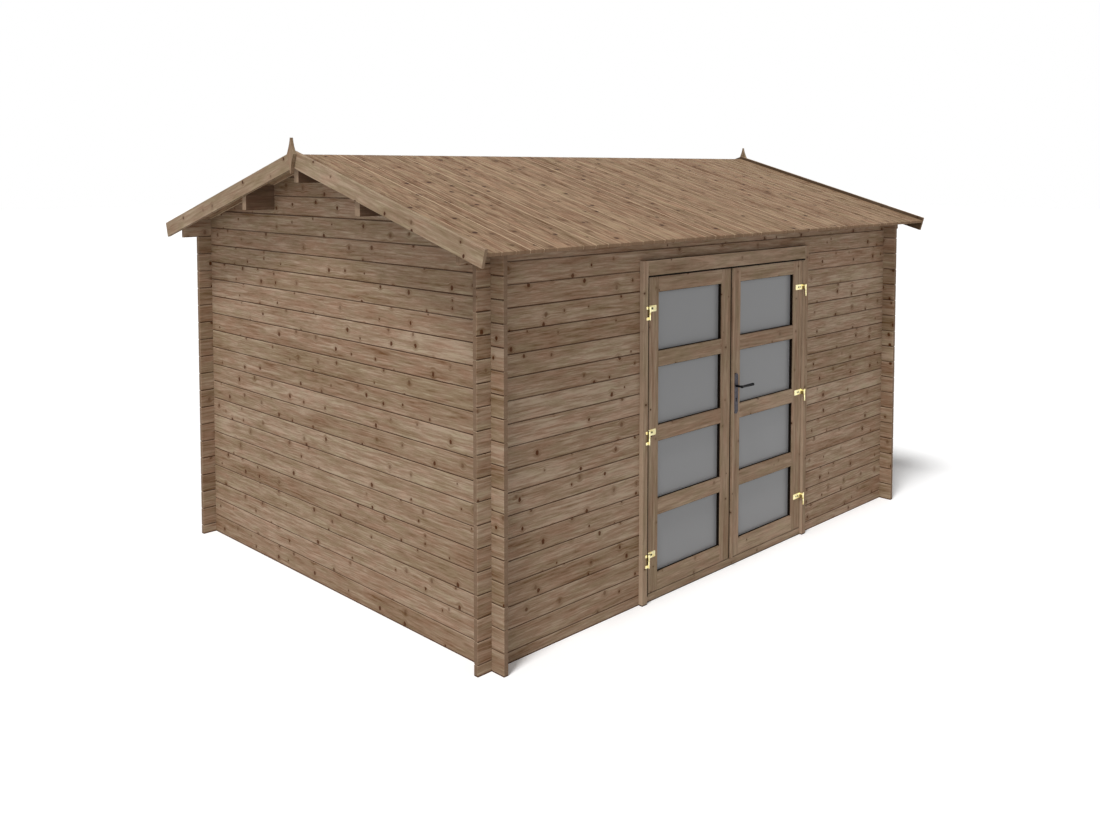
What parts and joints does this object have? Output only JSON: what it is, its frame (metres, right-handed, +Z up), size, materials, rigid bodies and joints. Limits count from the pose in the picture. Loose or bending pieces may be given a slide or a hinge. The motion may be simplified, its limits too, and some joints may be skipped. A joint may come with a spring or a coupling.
{
  "type": "wooden garden shed",
  "caption": "Hollow garden shed of stacked boards with notched corners, a low gable roof on purlins with barge boards and finials, and a glazed double door that opens outwards.",
  "frame": {"origin": "ground level, in the middle of the plan", "axes": "+X along the front to the right as seen from outside the door, +Y from the door to the back wall, +Z up"},
  "size_m": [4.336, 3.2258, 2.6174],
  "materials": {
    "wall_wood": "brown pressure-treated pine boards with dark knots",
    "roof_wood": "pale brown treated pine roof boards and barge boards",
    "joinery_wood": "planed brown treated pine door and frame",
    "door_glass": "smooth grey glass",
    "hinge_brass": "pale brass-plated hinges",
    "handle_metal": "dark grey satin metal"
  },
  "bodies": {
    "shed": {"front_wall_left": "wall_wood", "front_wall_right": "wall_wood", "front_lintel_board": "wall_wood", "front_top_log": "wall_wood", "back_wall": "wall_wood", "back_top_log": "wall_wood", "left_wall": "wall_wood", "right_wall": "wall_wood", "left_gable": "wall_wood", "right_gable": "wall_wood", "ridge_purlin": "wall_wood", "front_purlin": "wall_wood", "back_purlin": "wall_wood", "roof_front": "roof_wood", "roof_back": "roof_wood", "barge_left_front": "roof_wood", "barge_left_back": "roof_wood", "barge_right_front": "roof_wood", "barge_right_back": "roof_wood", "finial_left": "roof_wood", "finial_right": "roof_wood", "frame_left_jamb": "joinery_wood", "frame_right_jamb": "joinery_wood", "frame_head": "joinery_wood", "frame_sill": "joinery_wood", "left_hinge_pintles": "hinge_brass", "right_hinge_pintles": "hinge_brass"},
    "left_door": {"left_door_hinge_stile": "joinery_wood", "left_door_meeting_stile": "joinery_wood", "left_door_rails": "joinery_wood", "left_door_glass": "door_glass", "left_door_hinge_flags": "hinge_brass"},
    "right_door": {"right_door_hinge_stile": "joinery_wood", "right_door_meeting_stile": "joinery_wood", "right_door_rails": "joinery_wood", "right_door_glass": "door_glass", "right_door_hinge_flags": "hinge_brass", "right_door_back_plates": "handle_metal"},
    "door_lever": {"right_door_lever": "handle_metal"}
  },
  "joints": [
    {"name": "left_door_swing", "type": "hinge", "parent": "shed", "child": "left_door", "pos_m": [-0.7985, -1.452, 0], "axis": [0, 0, -1], "range_deg": [0, 160]},
    {"name": "right_door_swing", "type": "hinge", "parent": "shed", "child": "right_door", "pos_m": [0.7985, -1.452, 0], "axis": [0, 0, 1], "range_deg": [0, 160]},
    {"name": "lever_turn", "type": "hinge", "parent": "right_door", "child": "door_lever", "pos_m": [0.0505, -1.404, 1.115], "axis": [0, 1, 0], "range_deg": [0, 45], "stiffness_Nm_per_rad": 0.9, "springref_deg": -34.38}
  ]
}
